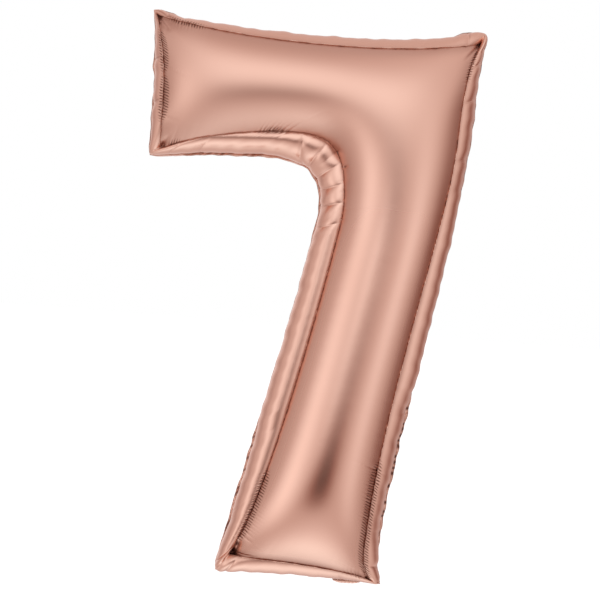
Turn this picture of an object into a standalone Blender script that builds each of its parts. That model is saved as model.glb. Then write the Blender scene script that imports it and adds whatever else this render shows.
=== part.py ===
"""Foil number balloon, the digit 7, inflated and ready to hang on its ribbon.

Four foil sheets make the envelope: a domed front panel and back panel, and two
narrow gussets that give the digit its depth. Three heat-sealed seams join them.
A flat self-sealing valve stands inside the foot of the digit, and the filling
tail outside swings on the foot seam.

Metres, +Z up, the front of the digit faces -Y. The origin is the neck, where
the tail leaves the foot seam and the ribbon is tied.
"""

import math

import bmesh
import bpy
import numpy as np
from mathutils import Vector
from mathutils.geometry import interpolate_bezier

COLLECTION = "foil_number_balloon_7"

# The front faces -Y and the back +Y.
FRONT, BACK = -1, 1

# Film. The real film is about 0.04 mm thick.
FOIL_THICK = 0.0004
VALVE_FILM_THICK = 0.0003
FILM_GAP = 0.0003

# Seams: how far the sheets and the seal stop from the seam line, and the seal's own size.
SEAM_GAP = 0.0014
SEAL_WIDTH = 0.0030
SEAL_THICK = 0.0006
MID_SEAM_SETBACK = 0.0030

# Crown of the panels: distance from a panel's seams back to the centre of its curve, and
# the way a panel leaves its seam, as (out, forward).
CROWN_CENTRE = 0.055
PANEL_LEAVES = (-0.53, 0.85)

# Rows of facets: along the bar, along the stem, across the stroke, across a gusset.
ROWS_BAR = 14
ROWS_STEM = 26
ROWS_ACROSS = 10
ROWS_GUSSET = 4

# Valve and tail
VALVE_WIDTH = 0.030
VALVE_LENGTH = 0.115
VALVE_BOTTOM = 0.0075
TAIL_WIDTH = 0.044
TAIL_LENGTH = 0.058
TAIL_ROOT = 0.0008
SLEEVE_WIDTH = 0.026

# The digit's outer outline in (x, z), clockwise from the top left corner. Each run is a
# chain of curves: corner, handle, handle, corner, and so on.
OUTLINE = {
    "bar_top": [(-0.3670, 0.8610), (-0.3300, 0.8320), (0.0800, 0.8280), (0.1510, 0.8610)],
    "stem_right": [(0.1510, 0.8610), (0.1268, 0.8077), (0.1442, 0.6886), (0.1295, 0.6170),
                   (0.1180, 0.5000), (0.0560, 0.2000), (0.0455, 0.0650),
                   (0.0435, 0.0400), (0.0475, 0.0120), (0.0555, 0.0010)],
    "foot": [(0.0555, 0.0010), (0.0100, 0.0050), (-0.1600, 0.0060), (-0.2077, 0.0010)],
    "stem_left": [(-0.2077, 0.0010), (-0.1661, 0.2058), (-0.1176, 0.3836), (-0.0884, 0.5661),
                  (-0.0867, 0.5925), (-0.0918, 0.6124), (-0.1037, 0.6256)],
    "bar_underside": [(-0.1037, 0.6256), (-0.1155, 0.6388), (-0.1340, 0.6454),
                      (-0.1589, 0.6455), (-0.2125, 0.6480), (-0.2944, 0.6401),
                      (-0.3540, 0.6345)],
    "bar_end": [(-0.3540, 0.6345), (-0.3545, 0.7000), (-0.3525, 0.7900), (-0.3670, 0.8610)],
}

# The seam round the front panel (and, mirrored, round the back panel), in the same runs.
PANEL_SEAM = {
    "bar_top": [(-0.3605, 0.8515), (-0.3150, 0.8120), (0.0900, 0.8000), (0.1415, 0.8460)],
    "stem_right": [(0.1415, 0.8460), (0.1180, 0.8000), (0.1145, 0.7450), (0.1125, 0.6900),
                   (0.1085, 0.5600), (0.0310, 0.3000), (0.0200, 0.0650),
                   (0.0190, 0.0400), (0.0250, 0.0180), (0.0355, 0.0095)],
    "foot": [(0.0355, 0.0095), (0.0060, 0.0290), (-0.1100, 0.0340), (-0.1838, 0.0340)],
    "stem_left": [(-0.1838, 0.0340), (-0.1360, 0.1200), (-0.0760, 0.4200), (-0.0525, 0.5586),
                  (-0.0500, 0.6000), (-0.0540, 0.6350), (-0.0680, 0.6570)],
    "bar_underside": [(-0.0680, 0.6570), (-0.0780, 0.6720), (-0.0950, 0.6790),
                      (-0.1200, 0.6810), (-0.1900, 0.6840), (-0.2850, 0.6620),
                      (-0.3380, 0.6450)],
    "bar_end": [(-0.3380, 0.6450), (-0.3310, 0.7100), (-0.3260, 0.7900), (-0.3605, 0.8515)],
}

# Distance of the panel seams from the middle seam: at the start of a run, along it and at
# its end, and how far from a corner the seams keep spreading.
SEAM_DEPTH = {
    "bar_top": (0.012, 0.046, 0.012, 0.07),
    "stem_right": (0.012, 0.050, 0.026, 0.10),
    "foot": (0.026, 0.044, 0.030, 0.06),
    "stem_left": (0.030, 0.048, 0.038, 0.10),
    "bar_underside": (0.038, 0.045, 0.018, 0.08),
    "bar_end": (0.018, 0.044, 0.012, 0.05),
}

RUN_ROWS = {
    "bar_top": ROWS_BAR,
    "stem_right": ROWS_STEM,
    "foot": ROWS_ACROSS,
    "stem_left": ROWS_STEM,
    "bar_underside": ROWS_BAR,
    "bar_end": ROWS_ACROSS,
}

ROSE_GOLD = (0.72, 0.40, 0.31)
ROSE_GOLD_SEAL = (0.66, 0.34, 0.26)
CLEAR_FILM = (0.86, 0.88, 0.90)


def clear_scene():
    for obj in list(bpy.data.objects):
        bpy.data.objects.remove(obj, do_unlink=True)


def make_collection(name):
    collection = bpy.data.collections.new(name)
    bpy.context.scene.collection.children.link(collection)
    return collection


def make_material(name, colour, roughness, metallic):
    material = bpy.data.materials.new(name)
    material.use_nodes = True
    shader = material.node_tree.nodes["Principled BSDF"]
    shader.inputs["Base Color"].default_value = (*colour, 1.0)
    shader.inputs["Roughness"].default_value = roughness
    shader.inputs["Metallic"].default_value = metallic
    material.diffuse_color = (*colour, 1.0)
    return material


# Outlines ---------------------------------------------------------------------------

def curve_points(chain, count):
    """Points at equal steps along a chain of curves, both ends included."""
    knots = [Vector((x, z, 0.0)) for x, z in chain]
    dense = [knots[0]]
    for i in range(0, len(knots) - 1, 3):
        dense += interpolate_bezier(*knots[i:i + 4], 60)[1:]
    lengths = [0.0]
    for a, b in zip(dense, dense[1:]):
        lengths.append(lengths[-1] + (b - a).length)
    steps = np.linspace(0.0, lengths[-1], count + 1)
    xs = np.interp(steps, lengths, [p.x for p in dense])
    zs = np.interp(steps, lengths, [p.y for p in dense])
    return np.column_stack([xs, zs]), steps


def fade(distance, reach):
    """1 at a corner, falling smoothly to 0 at the given reach."""
    return np.clip(1.0 - distance / reach, 0.0, 1.0) ** 2


def seam_depths(run, steps):
    start, along, end, reach = SEAM_DEPTH[run]
    from_start = fade(steps, reach)
    from_end = fade(steps[-1] - steps, reach)
    return along + (start - along) * from_start + (end - along) * from_end


def digit_loops():
    """The outer outline, the panel seam and its depth, as closed loops of equal length."""
    outer, seam, depth = [], [], []
    for run, rows in RUN_ROWS.items():
        outer_points, _ = curve_points(OUTLINE[run], rows)
        seam_points, steps = curve_points(PANEL_SEAM[run], rows)
        outer.append(outer_points[:-1])
        seam.append(seam_points[:-1])
        depth.append(seam_depths(run, steps)[:-1])
    return np.vstack(outer), np.vstack(seam), np.concatenate(depth)


# Sections -----------------------------------------------------------------------------

def bulge_height(start, end, reach):
    """Rise of the arc from start to end whose farthest point out is just at the reach."""
    middle = (start + end) / 2
    chord = end - start
    half = chord.length / 2
    outward = abs(chord.y) / chord.length
    low, high = half * 0.02, half * 1.2
    for _ in range(40):
        rise = (low + high) / 2
        radius = (half ** 2 + rise ** 2) / (2 * rise)
        farthest = middle.x + outward * (rise - radius) + radius
        low, high = (rise, high) if farthest < reach else (low, rise)
    return rise


def gusset_arc(strip, depth):
    """Section of a gusset, panel seam to middle seam, as (out, forward) points.

    The second result is the way the section leaves the panel seam.
    """
    start = Vector((-strip, depth))
    end = Vector((-MID_SEAM_SETBACK, 0.0))
    along = (end - start).normalized()
    outward = Vector((-along.y, along.x))
    half = (end - start).length / 2
    rise = bulge_height(start, end, 0.0)
    radius = (half ** 2 + rise ** 2) / (2 * rise)
    centre = (start + end) / 2 + outward * (rise - radius)
    spread = math.asin(min(1.0, half / radius))
    if rise > half:
        spread = math.pi - spread
    leaves = math.cos(spread) * along + math.sin(spread) * outward
    spread -= SEAM_GAP / radius
    angles = np.linspace(-spread, spread, ROWS_GUSSET + 1)
    arc = [centre + radius * (math.cos(a) * outward + math.sin(a) * along) for a in angles]
    return arc, leaves


def place(outer_point, out_direction, section_point, facing):
    """A section point (out, forward) at one station of the outline, in the digit's space."""
    out, forward = section_point
    x = outer_point[0] + out * out_direction[0]
    z = outer_point[1] + out * out_direction[1]
    return Vector((x, forward * facing, z))


def sweep(stations, sections, facing):
    outer, directions = stations
    return [[place(outer[i], directions[i], point, facing) for point in section]
            for i, section in enumerate(sections)]


def seal_section(base, direction):
    """Rectangle of a heat seal that stands out from its base point."""
    across = Vector((-direction.y, direction.x)) * (SEAL_THICK / 2)
    foot = base + direction * SEAM_GAP
    tip = foot + direction * SEAL_WIDTH
    return [foot - across, tip - across, tip + across, foot + across]


# Panels -------------------------------------------------------------------------------

def panel_grid(edge):
    """Fill the panel's edge loop with rows across the stroke (blend of the four sides)."""
    across, rows = ROWS_ACROSS, ROWS_BAR + ROWS_STEM
    total = len(edge)
    outside = [edge[i] for i in range(rows + 1)]
    inside = [edge[rows + across + (rows - i)] for i in range(rows + 1)]
    bar_end = [edge[(2 * rows + across + (across - k)) % total] for k in range(across + 1)]
    foot = [edge[rows + k] for k in range(across + 1)]
    grid = np.zeros((rows + 1, across + 1, 2))
    for i in range(rows + 1):
        for k in range(across + 1):
            s, t = i / rows, k / across
            ruled = (1 - t) * outside[i] + t * inside[i]
            first = bar_end[k] - (1 - t) * bar_end[0] - t * bar_end[-1]
            last = foot[k] - (1 - t) * foot[0] - t * foot[-1]
            grid[i, k] = ruled + (1 - s) ** 8 * first + s ** 8 * last
    return grid


def stiffness(points, triangles):
    """Membrane stiffness and the load area at each point."""
    matrix = np.zeros((len(points), len(points)))
    area = np.zeros(len(points))
    for tri in triangles:
        corners = points[list(tri)]
        sides = np.roll(corners, 1, axis=0) - np.roll(corners, 2, axis=0)
        twice = abs(sides[0][0] * sides[1][1] - sides[0][1] * sides[1][0])
        matrix[np.ix_(tri, tri)] += sides @ sides.T / (2 * twice)
        area[list(tri)] += twice / 6
    return matrix, area


def inflate(grid, edge_depth):
    """How far each point of the panel stands forward of the middle plane."""
    rows, columns = grid.shape[0], grid.shape[1]
    points = grid.reshape(-1, 2)
    triangles = []
    for i in range(rows - 1):
        for k in range(columns - 1):
            a = i * columns + k
            triangles += [(a, a + 1, a + columns), (a + 1, a + columns + 1, a + columns)]
    matrix, area = stiffness(points, triangles)
    is_edge = np.ones((rows, columns), bool)
    is_edge[1:-1, 1:-1] = False
    rim, free = np.flatnonzero(is_edge), np.flatnonzero(~is_edge.ravel())
    inner = matrix[np.ix_(free, free)]
    base = edge_depth.reshape(-1).copy()
    base[free] = np.linalg.solve(inner, -matrix[np.ix_(free, rim)] @ base[rim])
    lift = np.zeros(len(points))
    lift[free] = np.linalg.solve(inner, area[free])
    crown = np.sqrt(CROWN_CENTRE ** 2 + 2 * lift) - CROWN_CENTRE
    return (base + crown).reshape(rows, columns)


def edge_values(values):
    """Loop values laid on the rim of the panel's grid."""
    across, rows = ROWS_ACROSS, ROWS_BAR + ROWS_STEM
    grid = np.zeros((rows + 1, across + 1))
    for i in range(rows + 1):
        grid[i, 0] = values[i]
        grid[i, across] = values[rows + across + rows - i]
    for k in range(across + 1):
        grid[rows, k] = values[rows + k]
        grid[0, k] = values[(2 * rows + 2 * across - k) % len(values)]
    return grid


# Objects ------------------------------------------------------------------------------

def link_mesh(name, bm, material, collection):
    bmesh.ops.recalc_face_normals(bm, faces=bm.faces)
    mesh = bpy.data.meshes.new(name)
    bm.to_mesh(mesh)
    bm.free()
    mesh.materials.append(material)
    obj = bpy.data.objects.new(name, mesh)
    collection.objects.link(obj)
    return obj


def loft(name, rings, closed_along, closed_round, material, collection):
    """Faces between rings of points; each ring runs across, the rings run along."""
    bm = bmesh.new()
    verts = [[bm.verts.new(point) for point in ring] for ring in rings]
    along = len(rings) if closed_along else len(rings) - 1
    count = len(rings[0])
    round_steps = count if closed_round else count - 1
    for i in range(along):
        here, there = verts[i], verts[(i + 1) % len(rings)]
        for k in range(round_steps):
            n = (k + 1) % count
            bm.faces.new((here[k], here[n], there[n], there[k]))
    bmesh.ops.triangulate(bm, faces=bm.faces, quad_method="SHORT_EDGE")
    return link_mesh(name, bm, material, collection)


def thicken(obj, thickness):
    shell = obj.modifiers.new("film_thickness", "SOLIDIFY")
    shell.thickness = thickness
    shell.offset = 0.0
    return obj


def flat_film(name, size, centre, material, collection, parent=None):
    """A flat strip of film as a thin box; centre is in its parent's space."""
    bm = bmesh.new()
    bmesh.ops.create_cube(bm, size=1.0)
    bmesh.ops.scale(bm, vec=size, verts=bm.verts)
    obj = link_mesh(name, bm, material, collection)
    obj.parent = parent
    obj.location = centre
    return obj


def build():
    clear_scene()
    parts = make_collection(COLLECTION)
    foil = {name: make_material(f"{name}_foil", ROSE_GOLD, 0.22, 1.0)
            for name in ("front_panel", "back_panel", "front_gusset", "back_gusset",
                         "tail_front_foil", "tail_back_foil")}
    seal = {name: make_material(f"{name}_foil", ROSE_GOLD_SEAL, 0.30, 1.0)
            for name in ("front_seal", "mid_seal", "back_seal")}
    film = {name: make_material(f"{name}_plastic", CLEAR_FILM, 0.35, 0.0)
            for name in ("valve_front_film", "valve_back_film", "inlet_sleeve")}

    outer, seam, depth = digit_loops()
    strip_vectors = outer - seam
    strips = np.linalg.norm(strip_vectors, axis=1)
    directions = strip_vectors / strips[:, None]
    stations = (outer, directions)

    # Panels
    leaves_out, leaves_forward = Vector(PANEL_LEAVES).normalized()
    panel_edge = seam + directions * leaves_out * SEAM_GAP
    grid = panel_grid(list(panel_edge))
    heights = inflate(grid, edge_values(depth + leaves_forward * SEAM_GAP))
    for name, facing in (("front_panel", FRONT), ("back_panel", BACK)):
        rings = [[Vector((x, forward * facing, z)) for (x, z), forward in zip(row, crown)]
                 for row, crown in zip(grid, heights)]
        thicken(loft(name, rings, False, False, foil[name], parts), FOIL_THICK)

    # Gussets, and the heat seals that stand in the crease between panel and gusset
    arcs, panel_seals = [], []
    for strip, seam_depth in zip(strips, depth):
        arc, gusset_leaves = gusset_arc(strip, seam_depth)
        arcs.append(arc)
        seal_way = (Vector(PANEL_LEAVES).normalized() + gusset_leaves).normalized()
        panel_seals.append(seal_section(Vector((-strip, seam_depth)), seal_way))
    for name, facing in (("front_gusset", FRONT), ("back_gusset", BACK)):
        rings = sweep(stations, arcs, facing)
        thicken(loft(name, rings, True, False, foil[name], parts), FOIL_THICK)
    for name, facing in (("front_seal", FRONT), ("back_seal", BACK)):
        loft(name, sweep(stations, panel_seals, facing), True, True, seal[name], parts)
    mid_section = seal_section(Vector((-MID_SEAM_SETBACK, 0.0)), Vector((1.0, 0.0)))
    mid_rings = sweep(stations, [mid_section] * len(outer), BACK)
    loft("mid_seal", mid_rings, True, True, seal["mid_seal"], parts)

    # Valve inside the foot
    valve_size = (VALVE_WIDTH, VALVE_FILM_THICK, VALVE_LENGTH)
    valve_z = VALVE_BOTTOM + VALVE_LENGTH / 2
    film_y = (VALVE_FILM_THICK + FILM_GAP) / 2
    flat_film("valve_front_film", valve_size, (0, -film_y, valve_z),
              film["valve_front_film"], parts)
    flat_film("valve_back_film", valve_size, (0, film_y, valve_z),
              film["valve_back_film"], parts)

    # Tail, folded back under the foot; it turns about the X axis through the neck
    tail = bpy.data.objects.new("tail_hinge", None)
    parts.objects.link(tail)
    tail_size = (TAIL_WIDTH, TAIL_LENGTH, FOIL_THICK)
    tail_y = TAIL_ROOT + TAIL_LENGTH / 2
    foil_z = VALVE_FILM_THICK / 2 + FILM_GAP + FOIL_THICK / 2
    flat_film("tail_back_foil", tail_size, (0, tail_y, foil_z),
              foil["tail_back_foil"], parts, tail)
    flat_film("tail_front_foil", tail_size, (0, tail_y, -foil_z),
              foil["tail_front_foil"], parts, tail)
    sleeve_size = (SLEEVE_WIDTH, TAIL_LENGTH, VALVE_FILM_THICK)
    flat_film("inlet_sleeve", sleeve_size, (0, tail_y, 0),
              film["inlet_sleeve"], parts, tail)


build()
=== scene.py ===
"""Foil number balloon, the digit 7: the finished foil, seams, valve and tail."""
import math

import bpy
import numpy as np
from bpy.props import FloatProperty, FloatVectorProperty, IntProperty, PointerProperty
from bpy.types import Operator, Panel, PropertyGroup
from mathutils import Matrix, Vector


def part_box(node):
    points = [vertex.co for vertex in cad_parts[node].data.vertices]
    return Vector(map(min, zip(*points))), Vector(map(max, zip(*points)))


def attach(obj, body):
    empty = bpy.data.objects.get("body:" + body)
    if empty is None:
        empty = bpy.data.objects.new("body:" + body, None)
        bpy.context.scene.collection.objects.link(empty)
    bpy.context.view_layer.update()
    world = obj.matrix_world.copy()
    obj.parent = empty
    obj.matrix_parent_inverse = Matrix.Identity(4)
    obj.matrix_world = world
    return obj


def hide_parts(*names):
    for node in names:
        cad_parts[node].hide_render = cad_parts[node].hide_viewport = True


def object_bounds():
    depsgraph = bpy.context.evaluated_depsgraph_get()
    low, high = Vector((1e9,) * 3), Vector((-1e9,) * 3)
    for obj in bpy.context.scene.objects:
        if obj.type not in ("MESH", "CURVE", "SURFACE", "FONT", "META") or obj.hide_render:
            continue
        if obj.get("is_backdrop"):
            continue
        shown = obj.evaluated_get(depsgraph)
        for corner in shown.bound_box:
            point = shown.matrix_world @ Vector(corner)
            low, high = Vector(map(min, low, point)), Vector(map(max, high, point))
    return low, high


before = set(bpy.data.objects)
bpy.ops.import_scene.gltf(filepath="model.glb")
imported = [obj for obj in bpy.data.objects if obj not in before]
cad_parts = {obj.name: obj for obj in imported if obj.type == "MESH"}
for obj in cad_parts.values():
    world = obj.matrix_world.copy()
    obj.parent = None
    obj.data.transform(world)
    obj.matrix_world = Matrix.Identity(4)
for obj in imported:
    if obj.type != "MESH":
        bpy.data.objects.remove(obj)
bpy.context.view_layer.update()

bl_info = {
    "name": "Foil number balloon 7",
    "version": (1, 0, 0),
    "blender": (4, 5, 0),
    "location": "View3D > Sidebar > Balloon",
    "description": "Makes an inflated foil number balloon with its seams, valve and tail",
    "category": "Object",
}

FRONT, BACK = -1, 1
ENVELOPE, TAIL = "envelope", "tail"

# The way a panel leaves its seam, as (out, forward).
PANEL_LEAVES = (-0.53, 0.85)

# How far along the seam the creases lean for each metre away from it.
SLANT = 0.45

# The film beside a panel seam, in metres: how far the painted shade of a crease, the painted ticks
# of a gather and the soft painted shade band under them reach, and how dark that band is.
PANEL_SIDE = {"crease": 0.007, "ticks": 0.0095, "band": 0.0090, "dark": 0.68}
GUSSET_SIDE = {"crease": 0.006, "ticks": 0.0075, "band": 0.0048, "dark": 0.50}

# How much rougher the film gets where it is folded.
FOLD_DULLER = 0.16

# The whole panel darkens a little towards its seam: how much and how far in.
EDGE_SHADE, EDGE_SHADE_REACH = 0.36, 0.026

# Length over which the gathers of a seam fade in and out at their ends.
PANEL_GATHER_FADE, MIDDLE_GATHER_FADE = 0.034, 0.030

# Spacing and height of the faint creases outside the gathers.
PANEL_CREASING = (0.021, 0.0003)
MIDDLE_CREASING = (0.045, 0.0002)

# The outline waves by this much, in waves of these lengths, but not near the neck.
WOBBLE, WOBBLE_LENGTHS = 0.0008, (0.027, 0.041, 0.062, 0.09)
NECK_REACH = 0.04

# The digit's outer outline in (x, z), clockwise from the top left corner, in metres. Each
# run is a chain of curves: corner, handle, handle, corner, and so on.
OUTLINE = {
    "bar_top": [(-0.3670, 0.8590), (-0.3570, 0.8615), (-0.3440, 0.8600), (-0.3330, 0.8545),
                (-0.3000, 0.8365), (0.0300, 0.8260), (0.0950, 0.8535),
                (0.1100, 0.8590), (0.1300, 0.8660), (0.1455, 0.8640)],
    "stem_right": [(0.1455, 0.8640), (0.1540, 0.8600), (0.1530, 0.8480), (0.1490, 0.8380),
                   (0.1400, 0.7900), (0.1442, 0.6886), (0.1295, 0.6170),
                   (0.1180, 0.5000), (0.0560, 0.2000), (0.0455, 0.0650),
                   (0.0435, 0.0400), (0.0475, 0.0120), (0.0555, 0.0010)],
    "foot": [(0.0555, 0.0010), (0.0100, 0.0050), (-0.1600, 0.0060), (-0.2077, 0.0010)],
    "stem_left": [(-0.2077, 0.0010), (-0.1661, 0.2058), (-0.1176, 0.3836), (-0.0884, 0.5661),
                  (-0.0867, 0.5925), (-0.0918, 0.6124), (-0.1037, 0.6256)],
    "bar_underside": [(-0.1037, 0.6256), (-0.1155, 0.6388), (-0.1340, 0.6454),
                      (-0.1589, 0.6455), (-0.2125, 0.6480), (-0.2944, 0.6401),
                      (-0.3575, 0.6345)],
    "bar_end": [(-0.3575, 0.6345), (-0.3580, 0.7000), (-0.3575, 0.7900), (-0.3670, 0.8590)],
}

# The seam round each domed panel, in the same runs.
PANEL_SEAM = {
    "bar_top": [(-0.3605, 0.8515), (-0.3150, 0.8120), (0.0900, 0.8000), (0.1415, 0.8460)],
    "stem_right": [(0.1415, 0.8460), (0.1180, 0.8000), (0.1145, 0.7450), (0.1125, 0.6900),
                   (0.1085, 0.5600), (0.0310, 0.3000), (0.0200, 0.0650),
                   (0.0190, 0.0400), (0.0250, 0.0180), (0.0355, 0.0095)],
    "foot": [(0.0355, 0.0095), (0.0060, 0.0290), (-0.1100, 0.0340), (-0.1838, 0.0340)],
    "stem_left": [(-0.1838, 0.0340), (-0.1360, 0.1200), (-0.0760, 0.4200), (-0.0525, 0.5586),
                  (-0.0500, 0.6000), (-0.0540, 0.6350), (-0.0680, 0.6570)],
    "bar_underside": [(-0.0680, 0.6570), (-0.0780, 0.6720), (-0.0950, 0.6790),
                      (-0.1200, 0.6810), (-0.1900, 0.6840), (-0.2850, 0.6620),
                      (-0.3380, 0.6450)],
    "bar_end": [(-0.3380, 0.6450), (-0.3350, 0.7100), (-0.3330, 0.7900), (-0.3605, 0.8515)],
}

# Distance of the panel seams from the middle seam: at the start of a run, along it and at
# its end, and how far from a corner the seams keep spreading.
SEAM_DEPTH = {
    "bar_top": (0.012, 0.046, 0.012, 0.07),
    "stem_right": (0.012, 0.050, 0.026, 0.10),
    "foot": (0.026, 0.044, 0.030, 0.06),
    "stem_left": (0.030, 0.048, 0.038, 0.10),
    "bar_underside": (0.038, 0.045, 0.018, 0.08),
    "bar_end": (0.018, 0.044, 0.012, 0.05),
}

# Folds that cross a whole gusset: run, place along it from 0 to 1, depth from 0 to 1, how
# far the film bulges beside it in metres, and how far it leans along the run.
GUSSET_FOLDS = [
    ("stem_left", 0.830, 0.12, 0.012, 0.3), ("stem_left", 0.877, 0.24, 0.012, 0.4),
    ("stem_left", 0.922, 0.19, 0.012, 0.35), ("stem_left", 0.972, 0.20, 0.012, 0.10),
    ("bar_underside", 0.070, 0.20, 0.012, -0.15), ("bar_underside", 0.215, 0.18, 0.014, -0.6),
    ("bar_underside", 0.700, 0.08, 0.012, 0.0), ("bar_underside", 0.870, 0.16, 0.012, 0.0),
    ("bar_end", 0.340, 0.26, 0.016, 0.0), ("bar_end", 0.640, 0.28, 0.016, 0.0),
    ("stem_right", 0.060, 0.24, 0.010, 0.0), ("stem_right", 0.125, 0.20, 0.012, 0.0),
    ("stem_right", 0.230, 0.12, 0.014, 0.0), ("stem_right", 0.965, 0.24, 0.010, 0.0),
    ("foot", 0.240, 0.14, 0.010, 0.0), ("foot", 0.930, 0.20, 0.008, 0.0),
    ("stem_left", 0.028, 0.28, 0.008, 0.0), ("bar_top", 0.045, 0.24, 0.009, 0.0),
    ("bar_top", 0.100, 0.14, 0.009, 0.0), ("bar_top", 0.950, 0.22, 0.009, 0.0),
]

# Stretches where the film is gathered into fine ticks along a panel seam: run, start and
# end along it, spacing of the ticks and their height in metres, and how marked they are.
PANEL_GATHERS = [
    ("bar_top", 0.04, 0.17, 0.0050, 0.0014, 0.6),
    ("bar_end", 0.20, 0.50, 0.0050, 0.0020, 1.0),
    ("bar_end", 0.54, 0.84, 0.0052, 0.0018, 0.9),
    ("bar_underside", 0.29, 0.45, 0.0066, 0.0016, 0.6),
    ("bar_underside", 0.87, 0.97, 0.0050, 0.0014, 0.6),
    ("stem_left", 0.04, 0.22, 0.0056, 0.0018, 0.9),
    ("stem_right", 0.78, 0.99, 0.0052, 0.0021, 1.0),
    ("stem_right", 0.01, 0.09, 0.0055, 0.0014, 0.6),
    ("foot", 0.02, 0.20, 0.0055, 0.0012, 0.5),
]

# The same along the middle seam.
MIDDLE_GATHERS = [
    ("stem_right", 0.66, 0.92, 0.0085, 0.0030, 1.0), ("stem_left", 0.08, 0.36, 0.0090, 0.0026, 0.9),
    ("bar_underside", 0.20, 0.80, 0.0110, 0.0018, 0.6),
    ("stem_left", 0.84, 0.99, 0.0080, 0.0016, 0.5),
    ("bar_top", 0.02, 0.12, 0.0060, 0.0018, 0.6), ("bar_top", 0.88, 0.98, 0.0060, 0.0018, 0.6),
    ("bar_end", 0.02, 0.98, 0.0080, 0.0018, 0.6), ("foot", 0.10, 0.90, 0.0100, 0.0014, 0.5),
    ("stem_right", 0.02, 0.30, 0.0090, 0.0018, 0.6),
]

# The soft dark band beside the panel seam in each run: how dark it is and how far it
# reaches on the panel.
SEAM_SHADE = {
    "bar_top": (0.55, 0.0075), "stem_right": (0.60, 0.0075), "foot": (0.85, 0.0120),
    "stem_left": (0.45, 0.0058), "bar_underside": (0.36, 0.0050), "bar_end": (0.65, 0.0070),
}

# Creases in the panels that leave a seam, each with shade painted along it: both ends in (x, z),
# half width and depth.
PANEL_CREASES = [
    ((-0.1838, 0.0340), (-0.1400, 0.0375), 0.0022, 0.0035),
    ((-0.1838, 0.0340), (-0.1770, 0.0600), 0.0026, 0.0030),
    ((-0.1810, 0.0370), (-0.1660, 0.0800), 0.0046, 0.0008),
    ((0.0355, 0.0095), (0.0210, 0.0330), 0.0024, 0.0030),
    ((-0.3605, 0.8515), (-0.3330, 0.8190), 0.0024, 0.0030),
    ((-0.3605, 0.8515), (-0.3330, 0.8330), 0.0020, 0.0020),
    ((-0.3560, 0.8400), (-0.3460, 0.8000), 0.0030, 0.0035),
    ((0.1415, 0.8460), (0.1130, 0.8080), 0.0024, 0.0030),
    ((-0.3380, 0.6450), (-0.3230, 0.6640), 0.0024, 0.0025),
    ((-0.0540, 0.6350), (-0.0490, 0.6365), 0.0026, 0.0025),
    ((-0.0680, 0.6570), (-0.0640, 0.6610), 0.0026, 0.0025),
]

# Corners of the outline that are rounded: run that starts there, how far in, half width.
ROUNDED_CORNERS = [
    ("stem_left", 0.0045, 0.0075), ("foot", 0.0040, 0.0070), ("bar_end", 0.0012, 0.0030),
]

# Pockets where the film tucks in at a corner: centre in (x, z), reach, depth and how dark the shade
# painted in it is.
PANEL_POCKETS = [
    ((-0.1800, 0.0385), 0.0130, 0.0070, 1.1), ((-0.1740, 0.0530), 0.0080, 0.0040, 1.0),
    ((0.0335, 0.0130), 0.0070, 0.0050, 0.8), ((-0.3570, 0.8470), 0.0070, 0.0050, 0.8),
    ((-0.3540, 0.8330), 0.0060, 0.0040, 0.95), ((0.1380, 0.8420), 0.0080, 0.0012, 0.6),
    ((-0.3350, 0.6480), 0.0080, 0.0040, 0.8),
]


def length_property(name, default, description):
    return FloatProperty(name=name, default=default, unit="LENGTH", description=description)


def share_property(name, default, description):
    return FloatProperty(name=name, default=default, min=0, max=1, subtype="FACTOR",
                         description=description)


def count_property(name, default, least, description):
    return IntProperty(name=name, default=default, min=least, description=description)


def colour_property(name, default, description):
    return FloatVectorProperty(name=name, default=default, subtype="COLOR", size=3, min=0,
                               max=1, description=description)


class BALLOON_PG_shape(PropertyGroup):
    rows_bar: count_property(
        "Rows along the bar", 260, 20, "Rows of facets along the bar of the digit")
    rows_stem: count_property(
        "Rows along the stem", 520, 40, "Rows of facets along the stem of the digit")
    rows_across: count_property(
        "Rows across", 120, 12, "Rows of facets across a panel")
    rows_gusset: count_property(
        "Rows across a gusset", 36, 6, "Rows of facets from the panel seam to the middle seam")
    crown_centre: length_property(
        "Crown centre", 0.055, "Distance from a panel's seams back to the centre of its curve")
    middle_setback: length_property(
        "Middle seam setback", 0.003, "How far the middle seam lies inside the widest outline")
    middle_seal_width: length_property(
        "Middle seal width", 0.0038, "Width of the heat-sealed lip along the middle seam")
    panel_seal_width: length_property(
        "Panel seal width", 0.0018, "Width of the heat-sealed lips round the panels")
    lip_shows: length_property(
        "Lip shows", 0.0048, "How far the middle lip stands out where the film is gathered")
    seal_thick: length_property(
        "Seal thickness", 0.0004, "Thickness of the heat-sealed lips")
    tail_width: length_property(
        "Tail width", 0.044, "Width of the filling tail")
    tail_length: length_property(
        "Tail length", 0.058, "Length of the filling tail from the neck to its mouth")
    tail_droop: length_property(
        "Tail droop", 0.0036, "How far the folded tail sags below the neck")


class BALLOON_PG_finish(PropertyGroup):
    foil_colour: colour_property(
        "Foil colour", (0.86, 0.52, 0.41), "Colour of the metallised film")
    # Colour of the painted shade in the film's creases and gathers and beside its seams.
    fold_shade_colour: colour_property(
        "Fold colour", (0.36, 0.165, 0.12),
        "Deeper colour of the film where it is gathered at a seam")
    # Colour of the deepest painted shade, in tucked corners.
    pocket_shade_colour: colour_property(
        "Pocket colour", (0.13, 0.05, 0.035), "Colour of the film deep in a tucked corner")
    gusset_roughness: share_property(
        "Gusset roughness", 0.31, "Roughness of the slacker film of the gussets")
    foil_roughness: share_property(
        "Foil roughness", 0.225, "Roughness of the metallised film")
    film_colour: colour_property(
        "Valve film colour", (0.86, 0.88, 0.90), "Colour of the clear plastic of the valve")


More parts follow.
